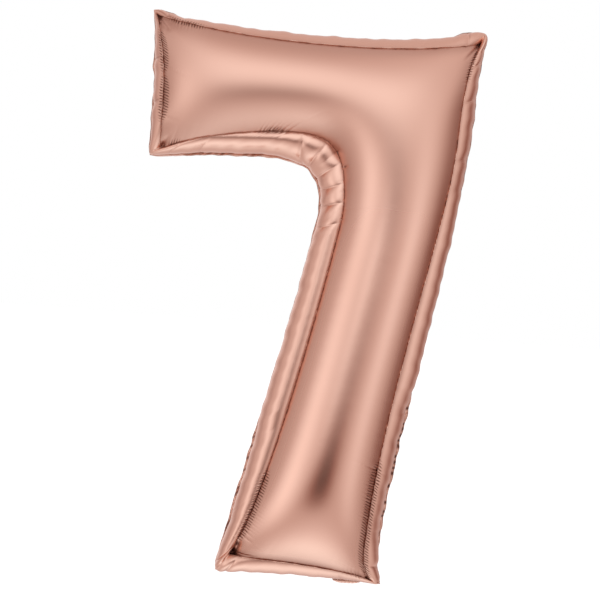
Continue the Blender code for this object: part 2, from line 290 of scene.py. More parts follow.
class BALLOON_PG_stage(PropertyGroup):
    camera_distance: length_property(
        "Camera distance", 1.7, "Distance of the camera from the middle of the balloon")
    view_width: length_property(
        "View width", 0.932, "Width of the view at the balloon")
    camera_roll: FloatProperty(
        name="Camera roll", default=math.radians(4.5), unit="ROTATION",
        description="Turn of the camera about its own axis")
    floor_drop: length_property(
        "Floor drop", 0.35, "How far the floor lies under the balloon")
    floor_glow: FloatProperty(
        name="Floor glow", default=0.5, min=0,
        description="How brightly the floor is lit from within")
    floor_size: length_property(
        "Floor size", 60.0, "Length of the floor's sides")
    floor_colour: colour_property(
        "Floor colour", (0.9, 0.9, 0.9), "Colour of the floor")


# Outlines ---------------------------------------------------------------------------

def dense_curve(chain):
    """A chain of curves as many points, and the length along it up to each."""
    knots = np.array(chain)
    t = np.linspace(0.0, 1.0, 400)[:, None]
    pieces = [knots[:1]]
    for i in range(0, len(knots) - 1, 3):
        a, b, c, d = knots[i:i + 4]
        curve = (1 - t) ** 3 * a + 3 * (1 - t) ** 2 * t * b + 3 * (1 - t) * t * t * c + t ** 3 * d
        pieces.append(curve[1:])
    dense = np.vstack(pieces)
    steps = np.linalg.norm(np.diff(dense, axis=0), axis=1)
    return dense, np.concatenate([[0.0], np.cumsum(steps)])


def curve_points(chain, fractions):
    """Points at the given fractions of the length of a chain of curves."""
    dense, length = dense_curve(chain)
    steps = np.asarray(fractions) * length[-1]
    return np.column_stack([np.interp(steps, length, dense[:, i]) for i in range(2)]), steps


def close_to_ends(count, share=0.55):
    """Fractions from 0 to 1 that lie closer together near both ends."""
    even = np.linspace(0.0, 1.0, count + 1)
    return share * (0.5 - 0.5 * np.cos(np.pi * even)) + (1 - share) * even


def bell(gap):
    return np.exp(-gap ** 2)


def run_fractions(run, rows, length):
    """Fractions along a run that lie closer together at corners, folds and gathers."""
    fine = np.linspace(0.0, 1.0, 4001)
    corner, mid_fold = 0.012, 0.02
    crowd = 1.0 + 1.6 * np.exp(-fine * length / corner)
    crowd = crowd + 1.6 * np.exp(-(1 - fine) * length / corner)
    for name, place, _, width, lean in GUSSET_FOLDS:
        if name == run:
            middle = place + lean * mid_fold / length
            reach = 0.5 * width + mid_fold * abs(lean)
            crowd += 2.2 * bell((fine - middle) * length / reach)
    for name, first, last, *_ in PANEL_GATHERS + MIDDLE_GATHERS:
        if name == run:
            crowd += 1.0 * ((fine > first) & (fine < last))
    total = np.concatenate([[0.0], np.cumsum((crowd[1:] + crowd[:-1]) / 2)])
    return np.interp(np.linspace(0.0, total[-1], rows + 1), total, fine)


def fade(distance, reach):
    return np.clip(1.0 - distance / reach, 0.0, 1.0) ** 2


def seam_depths(run, steps):
    start, along, end, reach = SEAM_DEPTH[run]
    from_start, from_end = fade(steps, reach), fade(steps[-1] - steps, reach)
    return along + (start - along) * from_start + (end - along) * from_end


class Digit:
    """The balloon's outlines, sampled once and shared by every piece."""

    def __init__(self, shape):
        self.shape = shape
        self.rows = {
            "bar_top": shape.rows_bar, "stem_right": shape.rows_stem,
            "foot": shape.rows_across, "stem_left": shape.rows_stem,
            "bar_underside": shape.rows_bar, "bar_end": shape.rows_across,
        }
        outer, seam, depth, along, outer_along, shade = [], [], [], [], [], []
        self.start, self.length = {}, {}
        self.outer_start, self.outer_length = {}, {}
        self.total, self.outer_total = 0.0, 0.0
        for run, rows in self.rows.items():
            fractions = run_fractions(run, rows, dense_curve(PANEL_SEAM[run])[1][-1])
            outer_points, outer_steps = curve_points(OUTLINE[run], fractions)
            seam_points, steps = curve_points(PANEL_SEAM[run], fractions)
            outer.append(outer_points[:-1])
            seam.append(seam_points[:-1])
            depth.append(seam_depths(run, steps)[:-1])
            along.append(self.total + steps[:-1])
            shade.append(np.tile(SEAM_SHADE[run], (rows, 1)))
            outer_along.append(self.outer_total + outer_steps[:-1])
            self.start[run], self.length[run] = self.total, steps[-1]
            self.outer_start[run], self.outer_length[run] = self.outer_total, outer_steps[-1]
            self.total += steps[-1]
            self.outer_total += outer_steps[-1]
        self.outer, self.seam = np.vstack(outer), np.vstack(seam)
        self.depth, self.along = np.concatenate(depth), np.concatenate(along)
        self.shade, self.shade_reach = np.vstack(shade).T
        self.outer_along = np.concatenate(outer_along)
        reach = self.outer - self.seam
        self.strip = np.linalg.norm(reach, axis=1)
        self.out = reach / self.strip[:, None]
        for run, inward, width in ROUNDED_CORNERS:
            gap = wrapped(self.outer_along - self.outer_start[run], self.outer_total)
            moved = inward * bell(gap / width)
            self.outer = self.outer - self.out * moved[:, None]
            self.strip = self.strip - moved
        self.gathered = stretch_strength(self.along, PANEL_GATHERS, self.place,
                                         PANEL_GATHER_FADE)
        self.lip_shows = stretch_strength(self.outer_along, MIDDLE_GATHERS, self.outer_place,
                                          MIDDLE_GATHER_FADE)
        wave = closed_wave(self.outer_along, self.outer_total, WOBBLE_LENGTHS,
                           np.random.default_rng(5))
        self.near_neck = np.exp(-(np.linalg.norm(self.outer, axis=1) / NECK_REACH) ** 4)
        self.wobble = WOBBLE * wave * (1 - self.near_neck)
        self.middle_creases = Creases(self.outer_total, MIDDLE_GATHERS, self.outer_place,
                                      np.random.default_rng(77), *MIDDLE_CREASING)
        self.creases = {
            facing: Creases(self.total, PANEL_GATHERS, self.place,
                            np.random.default_rng(11 + facing), *PANEL_CREASING)
            for facing in (FRONT, BACK)
        }

    def place(self, run, fraction):
        return self.start[run] + fraction * self.length[run]

    def outer_place(self, run, fraction):
        return self.outer_start[run] + fraction * self.outer_length[run]

    def fold_gap(self, run, fraction):
        """Signed distance along the seam from one of the gusset folds."""
        return wrapped(self.along - self.place(run, fraction), self.total)


def wrapped(gap, total):
    """A distance round a loop, measured the shorter way."""
    return (gap + total / 2) % total - total / 2


def stretch_strength(along, stretches, place, edge):
    """How marked the gathers are along a loop, fading in and out at each stretch's ends."""
    strength = np.zeros_like(along)
    for run, first, last, _, _, marked in stretches:
        start, end = place(run, first), place(run, last)
        inside = np.minimum(along - start, end - along) / edge + 0.5
        strength = np.maximum(strength, marked * np.clip(inside, 0, 1))
    return strength


# Folds --------------------------------------------------------------------------------

class Creases:
    """Creases across a seam with soft pillows between them, closer in the gathers."""

    def __init__(self, total, gathers, place, rng, spacing, height):
        self.total = total
        spots, heights, marks = [], [], []
        position = 0.0
        while position < total:
            step, high, marked = spacing, height, 0.05
            for run, first, last, gather_step, gather_high, gather_marked in gathers:
                if place(run, first) <= position <= place(run, last):
                    step, high, marked = gather_step, gather_high, gather_marked
            spots.append(position)
            heights.append(high * rng.uniform(0.5, 1.2))
            marks.append(marked * rng.uniform(0.4, 1.0))
            position += step * rng.uniform(0.65, 1.4)
        self.dark = rng.random(len(spots) + 1) < 0.6
        self.spots = np.array(spots + [total])
        self.heights = np.array(heights + [heights[0]])
        self.marks = np.array(marks + [marks[0]])

    def between(self, along):
        """The next crease, the share of the way to it and the distance between the two."""
        along = along % self.total
        index = np.clip(np.searchsorted(self.spots, along, side="right"), 1, len(self.spots) - 1)
        left, right = self.spots[index - 1], self.spots[index]
        share = np.clip((along - left) / np.maximum(right - left, 1e-6), 0, 1)
        return index, share, right - left

    def at(self, along):
        """How deep the film sinks, how far apart the creases are and how much shade is painted
        along them.
        """
        index, share, spacing = self.between(along)
        pillow = np.sqrt(4 * share * (1 - share))
        depth = self.heights[index - 1] * (1 - share) + self.heights[index] * share
        mark = self.marks[index - 1] * (1 - share) + self.marks[index] * share
        line = np.abs(np.cos(np.pi * share)) ** 4
        return depth * (1 - pillow), spacing, mark * line

    def pillow_shade(self, along):
        """Painted shade on pillows here and there between the creases."""
        index, share, _ = self.between(along)
        return self.dark[index] * np.clip(4.5 * share * (1 - share), 0, 1)


def closed_wave(along, total, lengths, rng):
    """A wave of several lengths round a closed loop, between about -1 and 1."""
    value = np.zeros_like(along)
    for length in lengths:
        count = max(1, round(total / length * rng.uniform(0.85, 1.15)))
        value += np.sin(2 * np.pi * count * along / total + rng.uniform(0, 2 * np.pi))
    return value / math.sqrt(len(lengths))


def from_segment(points, first, second):
    """Distance from a line between two points, and how far along it from 0 to 1."""
    first, second = np.array(first), np.array(second)
    way = second - first
    share = np.clip(((points - first) @ way) / (way @ way), 0, 1)
    return np.linalg.norm(points - first - share[..., None] * way, axis=-1), share


# Sections -----------------------------------------------------------------------------

def gusset_arcs(strip, depth, setback, inside):
    """Circular sections from the panel seam to the middle seam, as (out, forward).

    Each bulges until its outermost point lies inside the outline by the given amount."""
    start = np.column_stack([inside - strip, depth])
    end = np.column_stack([np.full_like(strip, -setback), np.zeros_like(strip)])
    middle, chord = (start + end) / 2, end - start
    span = np.linalg.norm(chord, axis=1)
    half, along = span / 2, chord / span[:, None]
    outward = np.column_stack([-along[:, 1], along[:, 0]])
    low, high = half * 0.02, half * 1.2
    for _ in range(40):
        rise = (low + high) / 2
        radius = (half ** 2 + rise ** 2) / (2 * rise)
        farthest = middle[:, 0] + outward[:, 0] * (rise - radius) + radius
        low = np.where(farthest < 0, rise, low)
        high = np.where(farthest < 0, high, rise)
    centre = middle + outward * (rise - radius)[:, None]
    centre[:, 0] -= inside
    spread = np.arcsin(np.clip(half / radius, 0, 1))
    spread = np.where(rise > half, np.pi - spread, spread)
    return centre, radius, spread, outward, along


# Panels -------------------------------------------------------------------------------

def panel_grid(edge, rows, across):
    """Fill a panel's edge loop with rows across the stroke (a blend of its four sides)."""
    outside = edge[:rows + 1]
    inside = edge[rows + across:2 * rows + across + 1][::-1]
    bar_end = edge[(2 * rows + across + across - np.arange(across + 1)) % len(edge)]
    foot = edge[rows:rows + across + 1]
    s = np.linspace(0, 1, rows + 1)[:, None, None]
    t = close_to_ends(across)[None, :, None]
    ruled = (1 - t) * outside[:, None] + t * inside[:, None]
    first = bar_end[None] - (1 - t) * bar_end[0] - t * bar_end[-1]
    last = foot[None] - (1 - t) * foot[0] - t * foot[-1]
    return ruled + (1 - s) ** 8 * first + s ** 8 * last


def rim_sides(digit, rows, across):
    """For each side of a panel's grid: the loop's places along it, and its rim's shape."""
    loop = len(digit.along)
    column = np.arange(across + 1)
    return (
        (np.arange(rows + 1)[:, None], (slice(None), slice(0, 1))),
        ((2 * rows + across - np.arange(rows + 1))[:, None], (slice(None), slice(-1, None))),
        ((rows + column)[None], (slice(-1, None), slice(None))),
        (((2 * rows + 2 * across - column) % loop)[None], (slice(0, 1), slice(None))),
    )


def grid_triangles(rows, columns):
    index = np.arange(rows * columns).reshape(rows, columns)
    a, b = index[:-1, :-1].ravel(), index[:-1, 1:].ravel()
    c, d = index[1:, :-1].ravel(), index[1:, 1:].ravel()
    return np.vstack([np.column_stack([a, b, c]), np.column_stack([b, d, c])])


def enlarge(values, shape):
    """Stretch a coarse grid of values to a finer one."""
    rows = np.linspace(0, values.shape[0] - 1, shape[0])
    columns = np.linspace(0, values.shape[1] - 1, shape[1])
    tall = np.array([np.interp(rows, np.arange(values.shape[0]), line) for line in values.T]).T
    return np.array([np.interp(columns, np.arange(values.shape[1]), line) for line in tall])


def relax(grid, rim, pushed, coarse=2, steps=500):
    """A soap film on the grid: its height when its rim is held and pressure lifts it."""
    rows, columns = grid.shape[:2]
    guess = rim.copy()
    if coarse:
        small = relax(grid[::2, ::2], rim[::2, ::2], pushed, coarse - 1)
        guess[1:-1, 1:-1] = enlarge(small, (rows, columns))[1:-1, 1:-1]
    points = grid.reshape(-1, 2)
    triangles = grid_triangles(rows, columns)
    corners = points[triangles]
    sides = np.roll(corners, 1, axis=1) - np.roll(corners, 2, axis=1)
    twice = np.abs(sides[:, 0, 0] * sides[:, 1, 1] - sides[:, 0, 1] * sides[:, 1, 0])
    local = np.einsum("nik,njk->nij", sides, sides) / (2 * np.maximum(twice, 1e-12))[:, None, None]
    first, second = np.repeat(triangles, 3, axis=1).ravel(), np.tile(triangles, (1, 3)).ravel()
    weights = local.ravel()
    load = pushed * np.bincount(triangles.ravel(), np.repeat(twice / 6, 3), len(points))
    own = first == second
    diagonal = np.bincount(first[own], weights[own], len(points))
    free = np.zeros((rows, columns), bool)
    free[1:-1, 1:-1] = True
    free = free.ravel()

    def pull(values):
        return np.bincount(first, weights * values[second], len(points))

    value = guess.ravel()
    residual = np.where(free, load - pull(value), 0.0)
    scaled = residual / diagonal
    way, energy = scaled.copy(), residual @ scaled
    start = energy
    for _ in range(steps):
        pulled = np.where(free, pull(way), 0.0)
        step = energy / (way @ pulled)
        value += step * way
        residual -= step * pulled
        scaled = residual / diagonal
        fresh = residual @ scaled
        if fresh < 1e-9 * start:
            break
        way = scaled + fresh / energy * way
        energy = fresh
    return value.reshape(rows, columns)


# Meshes -------------------------------------------------------------------------------

def make_piece(name, verts, faces, body, material, uvs=None, painted_shade=None, gather=None):
    mesh = bpy.data.meshes.new(name)
    mesh.from_pydata(np.asarray(verts).tolist(), [], np.asarray(faces).tolist())
    if uvs is not None:
        layer = mesh.uv_layers.new(name="foil")
        corners = np.zeros(len(mesh.loops), int)
        mesh.loops.foreach_get("vertex_index", corners)
        layer.data.foreach_set("uv", np.asarray(uvs)[corners].ravel())
    for title, values in (("painted_shade", painted_shade), ("gather", gather)):
        if values is not None:
            layer = mesh.attributes.new(title, "FLOAT", "POINT")
            layer.data.foreach_set("value", np.clip(values, 0, 1).ravel())
    mesh.polygons.foreach_set("use_smooth", [True] * len(mesh.polygons))
    mesh.materials.append(material)
    obj = bpy.data.objects.new(name, mesh)
    bpy.context.scene.collection.objects.link(obj)
    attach(obj, body)
    return obj


def grid_faces(rows, columns, closed=False, ring=False, flip=False):
    """Faces of a grid; closed joins its last row to its first, ring its columns."""
    index = np.arange(rows * columns).reshape(rows, columns)
    if closed:
        index = np.vstack([index, index[:1]])
    if ring:
        index = np.hstack([index, index[:, :1]])
    quads = np.stack([index[:-1, :-1], index[:-1, 1:], index[1:, 1:], index[1:, :-1]], -1)
    quads = quads.reshape(-1, 4)
    return quads[:, ::-1] if flip else quads


# Materials ----------------------------------------------------------------------------

def link(tree, a, b):
    tree.links.new(a, b)


def add_node(tree, kind, **inputs):
    made = tree.nodes.new(kind)
    for name, value in inputs.items():
        made.inputs[name.replace("_", " ")].default_value = value
    return made


def map_range(tree, value, low, high, lowest=0.0, highest=1.0, smooth=True):
    """A socket that carries value, with low to high turned into lowest to highest."""
    made = tree.nodes.new("ShaderNodeMapRange")
    made.interpolation_type = "SMOOTHSTEP" if smooth else "LINEAR"
    for name, number in (("From Min", low), ("From Max", high), ("To Min", lowest),
                         ("To Max", highest)):
        made.inputs[name].default_value = number
    link(tree, value, made.inputs["Value"])
    return made.outputs["Result"]


def calculate(tree, operation, *values, kind="ShaderNodeMath"):
    """A socket with the result of a calculation on sockets and numbers."""
    made = tree.nodes.new(kind)
    made.operation = operation
    for index, value in enumerate(values):
        if isinstance(value, bpy.types.NodeSocket):
            link(tree, value, made.inputs[index])
        else:
            made.inputs[index].default_value = value
    return made.outputs["Value" if operation == "LENGTH" else 0]


def mix_colours(tree, factor, first, second):
    """A socket with a mix of two colours, each a socket or a number."""
    made = tree.nodes.new("ShaderNodeMix")
    made.data_type = "RGBA"
    colours = [socket for socket in made.inputs if socket.type == "RGBA"]
    for socket, value in ((made.inputs[0], factor), (colours[0], first), (colours[1], second)):
        if isinstance(value, bpy.types.NodeSocket):
            link(tree, value, socket)
        else:
            socket.default_value = value
    return next(socket for socket in made.outputs if socket.type == "RGBA")


def attribute(tree, name):
    made = tree.nodes.new("ShaderNodeAttribute")
    made.attribute_name = name
    return made.outputs["Fac"]


def new_material(name):
    """A new material with its nodes, shader and object coordinates."""
    material = bpy.data.materials.new(name)
    material.use_nodes = True
    tree = material.node_tree
    coords = tree.nodes.new("ShaderNodeTexCoord").outputs["Object"]
    return material, tree, tree.nodes["Principled BSDF"], coords


def texture(tree, kind, coords, **inputs):
    made = add_node(tree, kind, **inputs)
    link(tree, coords, made.inputs["Vector"])
    return made.outputs["Fac"]


def tint(tree, shade, colour, darker, positions=(0.0, 1.0)):
    """A socket with the colour, a little darker where shade is low."""
    made = tree.nodes.new("ShaderNodeValToRGB")
    stops = made.color_ramp.elements
    stops[0].position, stops[1].position = positions
    stops[0].color = (*(part * less for part, less in zip(colour, darker)), 1)
    stops[1].color = (*colour, 1)
    link(tree, shade, made.inputs["Fac"])
    return made.outputs["Color"]


def add_bump(tree, shader, height, strength, distance):
    made = add_node(tree, "ShaderNodeBump", Strength=strength, Distance=distance)
    link(tree, height, made.inputs["Height"])
    link(tree, made.outputs["Normal"], shader.inputs["Normal"])


def pleat_shade_ticks(tree):
    """Painted shade of fine slanted pleats across a seam where the film is gathered, from 0 to 1.
    """
    place = tree.nodes.new("ShaderNodeUVMap")
    place.uv_map = "foil"
    turn = tree.nodes.new("ShaderNodeMapping")
    turn.inputs["Rotation"].default_value = (0, 0, math.radians(-24))
    link(tree, place.outputs["UV"], turn.inputs["Vector"])
    pleats = texture(tree, "ShaderNodeTexWave", turn.outputs["Vector"], Scale=82.0,
                     Distortion=3.6, Detail=2.0, Detail_Scale=0.9)
    narrow = map_range(tree, pleats, low=0.74, high=0.2)
    where = map_range(tree, attribute(tree, "gather"), low=0.08, high=0.50, highest=0.92)
    return calculate(tree, "MULTIPLY", narrow, where)


def foil_material(name, finish, crinkle=0.12, roughness=None, duller_top=0.0, ribbed=False):
    """Rose gold metallised film, with shade painted darker into its creases, gathers and seam
    bands, and duller there.
    """
    material, tree, shader, coords = new_material(name)
    shader.inputs["Metallic"].default_value = 1.0
    broad = texture(tree, "ShaderNodeTexNoise", coords, Scale=6.0, Detail=2.0)
    plain = tint(tree, broad, finish.foil_colour, (0.97, 0.95, 0.94), (0.3, 0.7))
    # Painted shade: the shade colour where the mask and pleat ticks are high, the pocket shade
    # colour where they are highest.
    all_painted_shade = calculate(tree, "MAXIMUM", attribute(tree, "painted_shade"), pleat_shade_ticks(tree))
    crease_shaded = mix_colours(tree, all_painted_shade, plain, (*finish.fold_shade_colour, 1))
    tucked = map_range(tree, all_painted_shade, low=0.78, high=1.0, smooth=False)
    shown = mix_colours(tree, tucked, crease_shaded, (*finish.pocket_shade_colour, 1))
    link(tree, shown, shader.inputs["Base Color"])
    roughness = roughness or finish.foil_roughness
    dull = map_range(tree, broad, 0.0, 1.0, roughness - 0.02, roughness + 0.03, smooth=False)
    dull = calculate(tree, "MULTIPLY_ADD", all_painted_shade, FOLD_DULLER, dull)
    if duller_top:
        height = tree.nodes.new("ShaderNodeSeparateXYZ")
        link(tree, coords, height.inputs["Vector"])
        top = map_range(tree, height.outputs["Z"], low=0.50, high=0.72, highest=duller_top)
        dull = calculate(tree, "ADD", dull, top)
    link(tree, dull, shader.inputs["Roughness"])
    if ribbed:
        ribs = texture(tree, "ShaderNodeTexWave", coords, Scale=180.0, Distortion=2.0, Detail=1.0)
        add_bump(tree, shader, ribs, 0.5, 0.0004)
    else:
        fine = texture(tree, "ShaderNodeTexNoise", coords, Scale=22.0, Detail=3.0)
        add_bump(tree, shader, fine, crinkle, 0.001)
    return material


def valve_material(name, finish):
    """Milky clear film with a fine orange peel."""
    material, tree, shader, coords = new_material(name)
    shader.inputs["Roughness"].default_value = 0.35
    noise = texture(tree, "ShaderNodeTexNoise", coords, Scale=90.0, Detail=3.0)
    colour = tint(tree, noise, finish.film_colour, (0.93, 0.94, 0.95))
    link(tree, colour, shader.inputs["Base Color"])
    add_bump(tree, shader, noise, 0.3, 0.0004)
    return material


# Pieces -------------------------------------------------------------------------------

DIGITS = []


def the_digit(context):
    if not DIGITS:
        digit = Digit(context.scene.balloon_shape)
        shape = digit.shape
        rows, across = shape.rows_bar + shape.rows_stem, shape.rows_across
        digit.grid = panel_grid(digit.seam, rows, across)
        rim = np.zeros(digit.grid.shape[:2])
        for index, edge in rim_sides(digit, rows, across):
            rim[edge] = digit.depth[index]
        digit.level = relax(digit.grid, rim, 0.0)
        digit.lift = relax(digit.grid, np.zeros_like(rim), 1.0)
        DIGITS.append(digit)
    return DIGITS[0]


def panel_surface(digit, facing):
    """Points of a domed panel, where they lie on the film, and how much shade is painted on it
    there.
    """
    shape = digit.shape
    rows, across = shape.rows_bar + shape.rows_stem, shape.rows_across
    grid = digit.grid
    forward = digit.level + np.sqrt(shape.crown_centre ** 2 + 2 * digit.lift) - shape.crown_centre
    nearest = np.full(grid.shape[:2], 1e9)
    run_along = np.zeros(grid.shape[:2])
    painted_shade = np.zeros(grid.shape[:2])
    gather = np.zeros(grid.shape[:2])
    side = PANEL_SIDE
    for index, edge in rim_sides(digit, rows, across):
        distance = np.linalg.norm(grid - grid[edge], axis=2)
        depth, spacing, mark = digit.creases[facing].at(digit.along[index] + SLANT * distance)
        reach = 0.003 + 0.9 * spacing
        forward = forward - depth * np.exp(-(distance / reach) ** 1.3)
        gathered = digit.gathered[index]
        soft_band = np.exp(-(distance / digit.shade_reach[index]) ** 1.5)
        # Painted shade: along each crease, under the gathers, in the seam's soft band and over the
        # panel's edge.
        for shade in (0.5 * mark * bell(distance / side["crease"]),
                      side["dark"] * gathered * bell(distance / side["band"]),
                      digit.shade[index] * soft_band,
                      EDGE_SHADE * bell(distance / EDGE_SHADE_REACH)):
            painted_shade = np.maximum(painted_shade, shade)
        gather = np.maximum(gather, gathered * bell(distance / side["ticks"]))
        closer = distance < nearest
        nearest = np.where(closer, distance, nearest)
        run_along = np.where(closer, np.broadcast_to(digit.along[index], nearest.shape), run_along)
    # Creases sink the film and have shade painted along their lines.
    for first, second, width, depth in PANEL_CREASES:
        gap, share = from_segment(grid, first, second)
        line = bell(gap / width) * (1 - share) ** 0.7
        forward = forward - depth * np.minimum(nearest / 0.003, 1.0) * line
        painted_shade = np.maximum(painted_shade, 0.95 * line)
    # Pockets sink the film and have darker shade painted in them.
    for centre, reach, depth, dark in PANEL_POCKETS:
        gap = np.linalg.norm(grid - np.array(centre), axis=2)
        forward = forward - depth * np.minimum(nearest / 0.004, 1.0) * bell(gap / reach)
        painted_shade = np.maximum(painted_shade, dark * np.exp(-(gap / (0.85 * reach)) ** 4))
    verts = np.stack([grid[..., 0], forward * facing, grid[..., 1]], -1).reshape(-1, 3)
    return verts, np.column_stack([run_along.ravel(), nearest.ravel()]), painted_shade, gather


class BALLOON_OT_panels(Operator):
    """Make the two domed panels"""
    bl_idname = "balloon.panels"
    bl_label = "Panels"

    def execute(self, context):
        digit = the_digit(context)
        shape, finish = digit.shape, context.scene.balloon_finish
        rows, columns = shape.rows_bar + shape.rows_stem + 1, shape.rows_across + 1
        for name, facing in (("front_panel", FRONT), ("back_panel", BACK)):
            verts, uvs, painted_shade, gather = panel_surface(digit, facing)
            faces = grid_faces(rows, columns, flip=facing == FRONT)
            panel = make_piece(f"{name}_film", verts, faces, ENVELOPE,
                               foil_material(f"{name}_rose_gold", finish, duller_top=0.16),
                               uvs, painted_shade, gather)
            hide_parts(name)
        return {"FINISHED"}


def gusset_folds(digit, v, from_panel, swell):
    """The folds across a gusset: how far each pinches the film, its ridge and the painted shade
    line beside it.
    """
    ridge_high, ridge_wide, line_beside, line_wide = 0.0026, 0.0010, 0.0020, 0.0009
    pinch, ridge, dark = (np.zeros(from_panel.shape) for _ in range(3))
    for run, fraction, depth, width, lean in GUSSET_FOLDS:
        gap = digit.fold_gap(run, fraction)[:, None] - lean * from_panel
        beside = np.clip(np.abs(gap) / width, 0, 1)
        pinch = np.maximum(pinch, depth * (1 - np.sqrt(beside * (2 - beside))))
        ridge = ridge + ridge_high * depth * bell(gap / ridge_wide)
        line = depth * bell((gap - line_beside) / line_wide)
        dark = np.maximum(dark, 2.2 * line * swell ** 0.5 * (1 - v))
    return pinch, ridge, dark


def gusset_surface(digit, facing):
    """Points of a gusset, where they lie on the film, and how much shade is painted on it there."""
    shape = digit.shape
    centre, radius, spread, outward, along = gusset_arcs(
        digit.strip, digit.depth, shape.middle_setback, shape.lip_shows * digit.lip_shows)
    v = close_to_ends(shape.rows_gusset)[None, :]
    angle = (2 * v - 1) * spread[:, None]
    way = (np.cos(angle)[..., None] * outward[:, None] + np.sin(angle)[..., None] * along[:, None])
    arc = centre[:, None] + radius[:, None, None] * way
    chord = (1 - v)[..., None] * arc[:, :1] + v[..., None] * arc[:, -1:]
    length = (2 * radius * spread)[:, None]
    from_panel, from_middle = v * length, (1 - v) * length
    swell, taper = np.sin(np.pi * v), 1 - v ** 2
    pinch, ridge, painted_shade = gusset_folds(digit, v, from_panel, swell)
    arc = arc + (chord - arc) * (pinch * taper)[..., None]
    arc = arc + way * (ridge * swell * taper)[..., None]
    depth, spacing, mark = digit.creases[facing].at(digit.along[:, None] - SLANT * from_panel)
    sink = depth * np.exp(-(from_panel / (0.004 + 0.3 * spacing)) ** 1.3)
    place = digit.outer_along[:, None] + 0.3 * facing * from_middle
    depth, spacing, _ = digit.middle_creases.at(place)
    sink = sink + depth * np.exp(-(from_middle / (0.003 + 0.45 * spacing)) ** 1.3)
    side, gathered = GUSSET_SIDE, digit.gathered[:, None]
    gather = gathered * bell(from_panel / side["ticks"])
    pillow_shade = digit.middle_creases.pillow_shade(place) * digit.lip_shows[:, None]
    soft_band = digit.shade[:, None] * (1 - np.clip(1.4 * pinch, 0, 0.8))
    # Painted shade: along creases, under the gathers, on pillows by the middle seam, in a band by
    # the panel seam and at the middle seam.
    for shade in (0.5 * mark * bell(from_panel / side["crease"]),
                  side["dark"] * gathered * bell(from_panel / side["band"]),
                  0.9 * pillow_shade * bell(from_middle / 0.004),
                  soft_band * np.exp(-(from_panel / 0.0038) ** 1.5),
                  0.4 * np.exp(-(from_middle / 0.0018))):
        painted_shade = np.maximum(painted_shade, shade)
    sink[:, 0] = 0
    arc = arc - way * (sink * np.minimum(from_middle / 0.001, 1.0))[..., None]
    out = arc[..., 0] + (digit.wobble[:, None] - 0.006 * pinch) * np.minimum(1.6 * v, 1)
    x = digit.outer[:, :1] + out * digit.out[:, :1]
    z = digit.outer[:, 1:] + out * digit.out[:, 1:]
    verts = np.stack([x, arc[..., 1] * facing, z], -1).reshape(-1, 3)
    uvs = np.column_stack([np.repeat(digit.along, v.shape[1]), -from_panel.ravel()])
    return verts, uvs, painted_shade, gather


class BALLOON_OT_gussets(Operator):
    """Make the two gussets between the panels"""
    bl_idname = "balloon.gussets"
    bl_label = "Gussets"

    def execute(self, context):
        digit = the_digit(context)
        shape, finish = digit.shape, context.scene.balloon_finish
        for name, facing in (("front_gusset", FRONT), ("back_gusset", BACK)):
            verts, uvs, painted_shade, gather = gusset_surface(digit, facing)
            faces = grid_faces(len(digit.along), shape.rows_gusset + 1, closed=True,
                               flip=facing == BACK)
            gusset = make_piece(f"{name}_film", verts, faces, ENVELOPE,
                                foil_material(f"{name}_rose_gold", finish,
                                              roughness=finish.gusset_roughness),
                                uvs, painted_shade, gather)
            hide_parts(name)
        return {"FINISHED"}


LIP_WAVES = (0.011, 0.017, 0.029, 0.047)
LIP_WIDTH_WAVES = (0.03, 0.05, 0.09)


def lip_rings(digit, roots, ways, width, seed, crumple=0.0):
    """Sections of a lip that waves a little from side to side along its free edge."""
    rng = np.random.default_rng(seed)
    wave = closed_wave(digit.along, digit.total, LIP_WAVES, rng)
    wave = wave * (1 - 0.95 * digit.near_neck)
    short = 1 - 0.07 * closed_wave(digit.along, digit.total, LIP_WIDTH_WAVES, rng)
    sideways = np.column_stack([-ways[:, 1], ways[:, 0]])
    half = sideways * digit.shape.seal_thick / 2
    reach = ways * (width * short)[:, None]
    tip = roots + reach + sideways * (0.0006 * wave * (1 + crumple))[:, None]
    middle = roots + reach * 0.5 + sideways * (0.0004 * wave[::-1] * (1 + crumple))[:, None]
    root = roots - ways * 0.0005
    ring = [root - half, middle - half, tip - half * 0.7, tip + half * 0.7, middle + half,
            root + half]
    return np.stack(ring, axis=1)


